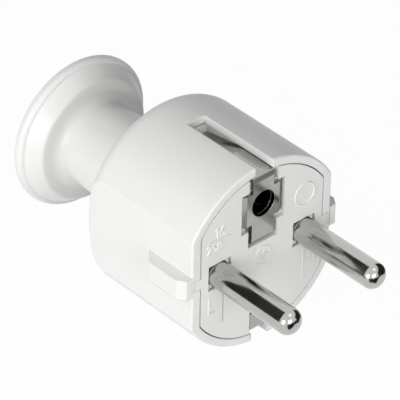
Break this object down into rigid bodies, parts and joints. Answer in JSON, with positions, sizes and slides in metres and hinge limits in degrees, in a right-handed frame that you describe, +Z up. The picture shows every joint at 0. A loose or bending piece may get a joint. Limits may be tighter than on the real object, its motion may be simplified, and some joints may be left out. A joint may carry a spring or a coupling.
{
  "type": "type e/f mains plug",
  "caption": "White earthed mains plug with round pins, side earth strips, a flat-sided round body and a pull knob with the cord outlet.",
  "frame": {"origin": "middle of the engagement face, halfway between the two pins", "axes": "the pins point along -Y, +Y runs back to the pull knob, +X runs to the pin at the right of the face, and +Z runs up to the earth hole"},
  "size_m": [0.0358, 0.0684, 0.036],
  "materials": {
    "cover_white": "moulded white thermoset, fine satin",
    "knob_white": "moulded white thermoplastic, gloss",
    "carrier_white": "moulded white thermoset, fine satin",
    "pin_nickel": "nickel plated brass, polished",
    "earth_nickel": "nickel plated sheet, dull",
    "brass": "bare brass, machined",
    "screw_steel": "zinc plated steel",
    "inner_grey": "grey insulating moulding",
    "grommet_rubber": "white soft rubber"
  },
  "bodies": {
    "root": {"cover_shell": "cover_white", "pin_carrier": "carrier_white", "earth_bracket": "earth_nickel", "earth_sleeve": "brass", "live_pin": "pin_nickel", "neutral_pin": "pin_nickel", "live_terminal": "brass", "neutral_terminal": "brass", "live_terminal_screw": "screw_steel", "neutral_terminal_screw": "screw_steel", "earth_post": "brass", "earth_washer": "screw_steel", "earth_screw": "screw_steel", "back_plate": "inner_grey", "back_plate_screws": "screw_steel", "cord_clamp_bar": "inner_grey", "cord_clamp_screws": "screw_steel", "pull_knob": "knob_white", "knob_lock_ring": "screw_steel", "cord_grommet": "grommet_rubber"}
  },
  "joints": []
}
